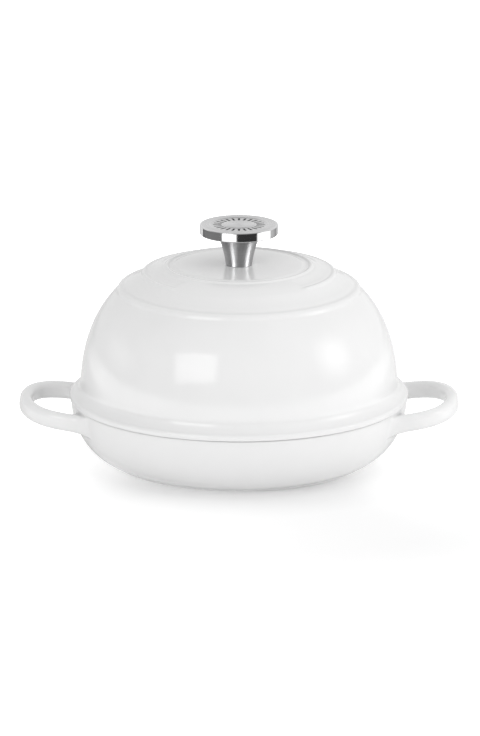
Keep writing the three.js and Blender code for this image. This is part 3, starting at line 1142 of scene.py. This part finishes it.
@dataclass
class Knob:
    """Steel knob: a disc with an engraved panel on a trumpet-shaped stem."""

    crown: float = 145.8
    stem_top: float = 169.2
    top: float = 176.4
    radius: float = 29.0
    edge: float = 0.8
    panel_outer: float = 21.0
    panel_inner: float = 11.0
    panel_depth: float = 0.5
    spigot: float = 5.0
    spigot_length: float = 3.0
    stem_foot_radius: float = 9.95
    stem_top_radius: float = 15.7
    stem_flare: float = 1.5
    stem_edge: float = 0.5
    stem_rows: int = 18
    socket: float = 5.3
    socket_foot: float = 165.9
    bore: float = 6.3
    bore_top: float = 161.4
    bar_count: int = 24
    bar_length: float = 6.0
    bar_width: float = 1.5
    bar_depth: float = 0.5
    columns: int = 192
    crease: float = 30.0
    break_edge: float = 0.2
    chamfer: float = 0.4
    bevel: float = 0.06

    def cap_section(self) -> Section:
        """Half section of the disc and its spigot."""
        section = Section()
        foot = self.stem_top - self.spigot_length
        section.to(0, foot).to(self.spigot - self.chamfer, foot).to(self.spigot, foot + self.chamfer)
        section.to(self.spigot, self.stem_top - self.break_edge)
        section.to(self.spigot + self.break_edge, self.stem_top)
        rim, edge_round = self.radius - self.edge, (self.edge, self.edge)
        section.run((8, rim - 0.5), (self.stem_top, self.stem_top), 4)
        low, high = self.stem_top + self.edge, self.top - self.edge
        section.arc((rim, low), edge_round, (270, 360), 7)
        section.run((self.radius, self.radius), (low + 0.1, high - 0.1), 4)
        section.arc((rim, high), edge_round, (0, 90), 7)
        section.coat(Working.TURNED)
        section.run((rim - 0.5, self.panel_outer + 0.3), (self.top, self.top), 4)
        floor, shoulder = self.top - self.panel_depth, self.top - self.bevel
        section.to(self.panel_outer, shoulder).to(self.panel_outer - self.chamfer, floor + self.bevel)
        section.run((self.panel_outer - 0.7, self.panel_inner + 0.7), (floor, floor), 4)
        section.to(self.panel_inner + self.chamfer, floor + self.bevel).to(self.panel_inner, shoulder)
        section.run((self.panel_inner - 0.3, 4), (self.top, self.top), 3).to(0, self.top)
        return section

    def stem_section(self) -> Section:
        """Half section of the trumpet-shaped stem, hollow for the bush and the disc's spigot."""
        section = Section()
        section.to(0, self.bore_top).to(self.bore, self.bore_top).to(self.bore, self.crown)
        foot = (self.stem_foot_radius - self.stem_edge, self.crown + self.stem_edge)
        section.arc(foot, (self.stem_edge, self.stem_edge), (270, 352), 5)
        low, high = self.crown + self.stem_edge, self.stem_top - self.chamfer
        shares = np.linspace(0, 1, self.stem_rows)
        flare = (self.stem_top_radius - self.stem_foot_radius) * shares**self.stem_flare
        section.through(zip(self.stem_foot_radius + flare, low + (high - low) * shares))
        section.to(self.stem_top_radius - self.break_edge, self.stem_top).to(self.socket, self.stem_top)
        section.to(self.socket, self.socket_foot).to(0, self.socket_foot)
        return section

    def build(self, finishes: Finishes, cuts: Tree) -> dict[str, Piece]:
        """Makes the disc and the stem.

        Args:
            finishes: The materials.
            cuts: Tree that sinks the ring of bars.

        Returns:
            The pieces, by the node that each stands for.
        """
        pieces = {}
        for node, section, materials in (
            ("knob_cap", self.cap_section(), [finishes.polished, finishes.turned]),
            ("knob_stem", self.stem_section(), [finishes.brushed]),
        ):
            draft = Draft()
            draft.spin(section, self.columns, False)
            pieces[node] = draft.build(node.replace("knob_", "steel_"), materials, self.crease)
        middle = (self.panel_outer + self.panel_inner) / 2
        values = {
            "Count": self.bar_count,
            "Ring Radius": middle * MM,
            "Length": self.bar_length * MM,
            "Width": self.bar_width * MM,
            "Depth": self.bar_depth * MM,
            "Level": (self.top - self.panel_depth) * MM,
            "Cut Finish": finishes.etched,
        }
        work(pieces["knob_cap"], cuts, values)
        smooth(pieces["knob_cap"], self.crease)
        return pieces


@dataclass
class ScrewStack:
    """Screw, lock washer and flat washer that hold the knob from inside the lid."""

    washer_foot: float = 140.6
    washer_radius: float = 9.0
    washer_thickness: float = 1.2
    bore: float = 3.3
    lock_foot: float = 139.0
    lock_radius: float = 5.9
    lock_thickness: float = 1.6
    lock_slit: float = 1.2
    head_foot: float = 135.2
    head_radius: float = 5.75
    shank: float = 3.0
    thread_core: float = 2.45
    pitch: float = 1.0
    tip: float = 158.1
    recess_length: float = 6.4
    recess_width: float = 1.7
    recess_depth: float = 2.0
    columns: int = 72
    edge: float = 0.3
    break_edge: float = 0.2
    plain_shank: float = 4.0
    tip_length: float = 0.8
    turn_rows: int = 8

    def flat_washer(self, finishes: Finishes) -> Piece:
        """Makes the flat washer, its stamped edges rounded."""
        section = Section()
        low, high = self.washer_foot, self.washer_foot + self.washer_thickness
        rim, edge_round = self.washer_radius - self.edge, (self.edge, self.edge)
        section.arc((rim, low + self.edge), edge_round, (270, 360), 5)
        section.arc((rim, high - self.edge), edge_round, (0, 90), 5)
        section.to(self.bore + self.break_edge, high).to(self.bore, high - self.break_edge)
        section.to(self.bore, low + self.break_edge).to(self.bore + self.break_edge, low)
        draft = Draft()
        draft.spin(section, self.columns, True)
        return draft.build("stack_flat_washer", [finishes.plated])

    def lock_washer(self, finishes: Finishes) -> Piece:
        """Makes the split washer, wound by a fraction of a turn less than a whole one."""
        slit = math.asin(self.lock_slit / 2 / self.bore)
        low, high, edge = self.lock_foot, self.lock_foot + self.lock_thickness, self.break_edge
        inner, outer = self.bore + edge, self.lock_radius - edge
        outline = [(inner, low), (outer, low), (self.lock_radius, low + edge)]
        outline += [(self.lock_radius, high - edge), (outer, high), (inner, high)]
        outline += [(self.bore, high - edge), (self.bore, low + edge)]
        draft = Draft()
        loops = []
        for turn in np.linspace(slit, 2 * math.pi - slit, self.columns):
            ring = [(radius * math.cos(turn), radius * math.sin(turn), height) for radius, height in outline]
            loops.append(draft.add_loop(ring))
        draft.tube([loop[::-1] for loop in loops], 0)
        draft.add_face(tuple(loops[0]), 0)
        draft.add_face(tuple(loops[-1][::-1]), 0)
        return draft.build("stack_lock_washer", [finishes.plated])

    def screw(self, finishes: Finishes, cuts: Tree) -> Piece:
        """Makes the screw with its domed head, cross recess and thread.

        Args:
            finishes: The materials.
            cuts: Tree that sinks the arms of the recess.

        Returns:
            The screw.
        """
        section = Section()
        section.to(0, self.head_foot).to(1.5, self.head_foot)
        rise = self.lock_foot - self.head_foot
        section.arc((2.6, self.lock_foot - 0.9), (self.head_radius - 2.6, rise - 0.9), (270, 360), 10)
        edge = self.break_edge
        section.to(self.head_radius, self.lock_foot - edge).to(self.head_radius - edge, self.lock_foot)
        section.to(self.shank + edge, self.lock_foot).to(self.shank, self.lock_foot + edge)
        start, stop = self.lock_foot + self.plain_shank, self.tip - self.tip_length
        section.to(self.shank, start)
        rows = int((stop - start) / self.pitch * self.turn_rows)
        section.run((self.shank, self.shank), (start + 0.1, stop), rows)
        section.to(self.thread_core - 0.3, self.tip).to(0, self.tip)
        draft = Draft()
        draft.spin(section, self.columns, False)
        draft.points = [self.threaded(point, start) for point in draft.points]
        screw = draft.build("stack_screw", [finishes.plated])
        values = {
            "Count": 4,
            "Ring Radius": self.recess_length / 4 * MM,
            "Length": self.recess_length / 2 * MM,
            "Width": self.recess_width * MM,
            "Depth": self.recess_depth * MM,
            "Level": self.head_foot * MM,
            "Cut Finish": finishes.plated,
        }
        work(screw, cuts, values)
        smooth(screw)
        return screw

    def threaded(self, point: Point, start: float) -> Point:
        """Moves a point of the plain shank to its place on the thread.

        Args:
            point: The point.
            start: Height that the thread starts at.

        Returns:
            The point on the thread.
        """
        x, y, z = point
        radius = math.hypot(x, y)
        if z <= start or z > self.tip - self.tip_length + 0.01 or radius < self.thread_core:
            return point
        phase = ((z - start) / self.pitch - math.atan2(y, x) / (2 * math.pi)) % 1.0
        grown = min(1.0, (z - start) / self.pitch)
        depth = (self.shank - self.thread_core) * abs(2 * phase - 1) * grown
        share = (radius - depth) / radius
        return (x * share, y * share, z)


class LampShape(str, Enum):
    """Outline of a lamp's face."""

    SQUARE = "RECTANGLE"
    ROUND = "ELLIPSE"


@dataclass
class Lamp:
    """One soft area lamp, placed by its direction from the object, that fades towards its edge."""

    name: str
    shape: LampShape
    azimuth: float
    elevation: float
    distance: float
    size: Pair
    radiance: float
    fade: float
    roll: float = 0.0
    only: str = ""

    def place(self, aim: Vector) -> None:
        """Adds the lamp, facing the point that it lights."""
        light = bpy.data.lights.new(self.name, "AREA")
        light.shape = self.shape.value
        light.size, light.size_y = self.size
        share = math.pi / 4 if self.shape is LampShape.ROUND else 1.0
        light.energy = self.radiance * math.pi * self.size[0] * self.size[1] * share
        self.soften(light)
        lamp = bpy.data.objects.new(self.name, light)
        bpy.context.scene.collection.objects.link(lamp)
        lamp.location = aim + direction(self.azimuth, self.elevation) * self.distance
        facing = (lamp.location - aim).to_track_quat("Z", "Y")
        lamp.rotation_euler = (facing @ Quaternion((0.0, 0.0, 1.0), math.radians(self.roll))).to_euler()
        lamp.visible_camera = False
        if self.only:
            lit = bpy.data.collections.new(self.name)
            lit.objects.link(bpy.data.objects[self.only])
            lamp.light_linking.receiver_collection = lit

    def soften(self, light: bpy.types.AreaLight) -> None:
        """Fades the lamp's face towards its edge."""
        light.use_nodes = True
        wiring = Wiring(light.node_tree)
        parts = wiring.split(wiring.add("ShaderNodeNewGeometry").outputs["Parametric"])
        across, up = (wiring.math("SUBTRACT", part, 0.5) for part in parts[:2])
        if self.shape is LampShape.ROUND:
            reach = wiring.reach(across, up)
        else:
            reach = wiring.math("MAXIMUM", wiring.math("ABSOLUTE", across), wiring.math("ABSOLUTE", up))
        glow = wiring.ease(reach, (0.5 * (1 - self.fade), 0.5), (1.0, 0.0), "SMOOTHSTEP")
        wiring.feed(light.node_tree.nodes["Emission"].inputs["Strength"], glow)


class Measure(str, Enum):
    """What a glow of the floor grows with: distance from the middle, or its share backwards or sideways."""

    REACH = "reach"
    BACK = "back"
    RIGHT = "right"


@dataclass(frozen=True)
class Glow:
    """Light that the floor adds to the sight of it, over a span of one measure."""

    measure: Measure
    span: Pair
    ends: Pair
    kind: str = "SMOOTHSTEP"


@dataclass(frozen=True)
class Shade:
    """Sector of the floor, between two azimuths in degrees, that looks dark in the knob's reflections."""

    azimuths: Pair
    depth: float


def direction(azimuth: float, elevation: float) -> Vector:
    """Direction at an azimuth to the right of the front and an elevation, both in degrees."""
    turn, rise = math.radians(azimuth), math.radians(elevation)
    return Vector((math.sin(turn) * math.cos(rise), -math.cos(turn) * math.cos(rise), math.sin(rise)))


@dataclass
class Studio:
    """Pale floor, white surround, soft lamps and the camera."""

    aim: Point = (0.00074, 0.0, 0.0668)
    camera_distance: float = 5.0
    camera_elevation: float = 15.2
    lens: float = 331.2
    film_height: float = 36.0
    ambient: float = 0.82
    ambient_lean: Point = (0.31, -0.08, -0.1)
    shown_in_front: float = 0.3
    shown_behind: float = 0.95
    shown_above: float = 0.6
    front_to_back: Pair = (-0.3, 0.6)
    low_to_high: Pair = (0.05, 0.4)
    floor_radius: float = 4.0
    floor_columns: int = 96
    floor_colour: float = 0.86
    floor_roughness: float = 0.9
    bounce: float = 2.1
    front_span: Pair = (-0.6, -0.2)
    front_slope: float = -1.6
    front_reach: float = 0.64
    glows: tuple[Glow, ...] = (
        Glow(Measure.REACH, (0.098, 0.116), (0.08, 0.0), "LINEAR"),
        Glow(Measure.REACH, (0.115, 0.165), (0.0, 0.08), "LINEAR"),
        Glow(Measure.BACK, (-0.92, -0.3), (0.0, 0.3)),
        Glow(Measure.BACK, (-0.45, 0.0), (0.0, 0.15)),
        Glow(Measure.RIGHT, (-0.55, 0.6), (0.07, -0.04)),
        Glow(Measure.REACH, (0.25, 0.6), (0.0, 0.6)),
    )
    lamp_aim: Point = (0.0, 0.0, 0.09)
    lamps: tuple[Lamp, ...] = (
        Lamp("left_softbox", LampShape.SQUARE, -33, 23, 1.2, (0.66, 0.52), 2.65, 0.12, 9),
        Lamp("right_lamp", LampShape.ROUND, 77, 19, 1.2, (0.92, 0.92), 2.8, 1.0),
        Lamp("right_fill", LampShape.ROUND, 100, 16, 1.6, (1.8, 1.6), 0.38, 1.0),
        Lamp("left_fill", LampShape.ROUND, -100, 11, 1.6, (1.6, 0.6), 0.7, 1.0),
        Lamp("left_strip", LampShape.SQUARE, -46, 24, 1.2, (0.42, 1.2), 11.5, 0.3, 0, "steel_stem"),
        Lamp("right_strip", LampShape.SQUARE, 73, 30, 1.2, (0.48, 1.2), 13.5, 0.3, 0, "steel_stem"),
        Lamp("floor_light", LampShape.SQUARE, 0, 90, 1.5, (2.4, 2.4), 0.56, 0.5, 0, "floor"),
    )
    shades: tuple[Shade, ...] = (Shade((-131, -50), 0.87), Shade((-7, 54), 0.97), Shade((103, 141), 0.65))
    shade_edge: float = 1.5
    knob_foot: Pair = (0.15, 0.162)
    knob_top: Pair = (0.18, 0.2)

    def build(self) -> None:
        """Makes the whole studio."""
        self.place_camera()
        self.light_surround()
        self.lay_floor()
        for lamp in self.lamps:
            lamp.place(Vector(self.lamp_aim))

    def place_camera(self) -> None:
        """Adds the camera at the photograph's viewing angle."""
        data = bpy.data.cameras.new("camera")
        data.sensor_fit = "VERTICAL"
        data.sensor_height = self.film_height
        data.lens = self.lens
        camera = bpy.data.objects.new("camera", data)
        bpy.context.scene.collection.objects.link(camera)
        towards = direction(0.0, self.camera_elevation)
        camera.location = Vector(self.aim) + towards * self.camera_distance
        camera.rotation_euler = towards.to_track_quat("Z", "Y").to_euler()
        bpy.context.scene.camera = camera

    def light_surround(self) -> None:
        """Gives a world that is white to look at, dimmer as light, and dim in front in reflections."""
        world = bpy.data.worlds.new("surround")
        world.use_nodes = True
        bpy.context.scene.world = world
        wiring = Wiring(world.node_tree)
        background = world.node_tree.nodes["Background"]
        background.inputs["Color"].default_value = (1.0, 1.0, 1.0, 1.0)
        towards = wiring.add("ShaderNodeTexCoord").outputs["Generated"]
        leaning = {0: towards, 1: self.ambient_lean}
        lean = wiring.add("ShaderNodeVectorMath", leaning, operation="DOT_PRODUCT").outputs["Value"]
        light = wiring.math("ADD", lean, self.ambient)
        _, back, up = wiring.split(towards)
        ends = (self.shown_in_front, self.shown_behind)
        level = wiring.ease(back, self.front_to_back, ends, "SMOOTHSTEP")
        above = wiring.ease(up, self.low_to_high, (0.0, self.shown_above), "SMOOTHSTEP")
        mirrored = wiring.math("MAXIMUM", level, above)
        path = wiring.add("ShaderNodeLightPath")
        unseen = wiring.ease(path.outputs["Is Glossy Ray"], UNIT, (light, mirrored))
        strength = wiring.ease(path.outputs["Is Camera Ray"], UNIT, (unseen, 1.0))
        wiring.feed(background.inputs["Strength"], strength)

    def lay_floor(self) -> None:
        """Adds the floor, which is white to look at and keeps the object's shadow."""
        draft = Draft()
        section = Section().run((self.floor_radius / MM, 100), (0, 0), 30).to(0, 0)
        draft.spin(section, self.floor_columns, False)
        material = bpy.data.materials.new("pale_floor")
        material.use_nodes = True
        wiring = Wiring(material.node_tree)
        place = wiring.add("ShaderNodeTexCoord").outputs["Object"]
        reach = wiring.add("ShaderNodeVectorMath", {0: place}, operation="LENGTH").outputs["Value"]
        east, north, _ = wiring.split(place)
        right, back = (
            wiring.math("DIVIDE", part, wiring.math("MAXIMUM", reach, MM)) for part in (east, north)
        )
        measures = {Measure.REACH: reach, Measure.BACK: back, Measure.RIGHT: right}
        glows = [wiring.ease(measures[one.measure], one.span, one.ends, one.kind) for one in self.glows]
        glow = glows[0]
        for part in glows[1:]:
            glow = wiring.math("ADD", glow, part)
        glow = wiring.math("MAXIMUM", glow, 0.0)
        path = wiring.add("ShaderNodeLightPath").outputs
        nearer = wiring.math("MINIMUM", reach, self.front_reach)
        nearer = wiring.math("MULTIPLY_ADD", nearer, self.front_slope, back)
        in_front = wiring.ease(nearer, self.front_span, (path["Is Glossy Ray"], 0.0))
        looked_at = wiring.math("MAXIMUM", path["Is Camera Ray"], in_front)
        lighting = wiring.math("MULTIPLY", path["Is Diffuse Ray"], self.bounce)
        bounced = wiring.math("MULTIPLY", glows[0], lighting)
        shaded = self.shade_floor(wiring, wiring.bearing(east, north), path["Ray Length"])
        share = wiring.ease(path["Is Glossy Ray"], UNIT, (1.0, shaded))
        shown = wiring.math("MULTIPLY_ADD", glow, looked_at, bounced)
        inputs = {
            "Base Color": wiring.math("MULTIPLY", share, self.floor_colour),
            "Roughness": self.floor_roughness,
            "Specular IOR Level": 0.0,
            "Emission Color": (1.0, 1.0, 1.0, 1.0),
            "Emission Strength": wiring.math("MULTIPLY", shown, share),
        }
        wiring.fill(material.node_tree.nodes["Principled BSDF"], inputs)
        floor = draft.build("floor", [material])
        floor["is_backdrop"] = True
    def shade_floor(self, wiring: Wiring, azimuth: Socket, length: Socket) -> Any:
        """How much of the floor's brightness is left in reflections of it.

        Args:
            wiring: The floor's nodes.
            azimuth: Angle of the place on the floor, to the right of the front.
            length: Length of the ray that meets it.

        Returns:
            The share, 1 for rays that don't come from the knob's height.
        """
        share: Any = 1.0
        for shade in self.shades:
            rise, fall = (
                wiring.ease(
                    azimuth,
                    (math.radians(edge - self.shade_edge), math.radians(edge + self.shade_edge)),
                    (0.0, shade.depth),
                )
                for edge in shade.azimuths
            )
            share = wiring.math("SUBTRACT", share, wiring.math("SUBTRACT", rise, fall))
        arrival = wiring.split(wiring.add("ShaderNodeNewGeometry").outputs["Incoming"])
        height = wiring.math("MULTIPLY", arrival[2], length)
        above = wiring.ease(height, self.knob_foot, (1.0, share))
        return wiring.ease(height, self.knob_top, (above, 1.0))


def write_sizes() -> None:
    """Works out the CAD box and the visual model's box as plain lists."""
    boxes = {"cad": CAD_BOX, "visual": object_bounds()}
    plain = {name: [[float(value) for value in corner] for corner in box] for name, box in boxes.items()}


def main() -> None:
    """Builds the cloche piece by piece, then the studio round it."""
    logging.basicConfig(level=logging.INFO, format="%(name)s: %(message)s")
    bpy.context.scene.view_settings.view_transform = "Standard"
    finishes = Finishes()
    cuts = cut_tree()
    hand_over(Pan().build(finishes), Body.BASE, Slot.PAN, "base_pan")
    hand_over(Lid().build(finishes), Body.LID, Slot.LID, "lid_dome")
    for node, piece in Knob().build(finishes, cuts).items():
        hand_over(piece, Body.LID, Slot.KNOB, node)
    stack = ScrewStack()
    hand_over(stack.screw(finishes, cuts), Body.LID, Slot.FASTENER, "knob_screw")
    hand_over(stack.lock_washer(finishes), Body.LID, Slot.FASTENER, "lock_washer")
    hand_over(stack.flat_washer(finishes), Body.PIVOT, Slot.FASTENER, "flat_washer")
    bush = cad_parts["threaded_insert"]
    bush.data.materials.clear()
    bush.data.materials.append(finishes.plated)
    LOG.info("threaded_insert: shown as packed, in plated steel")
    Studio().build()
    write_sizes()


if __name__ == "__main__":
    main()
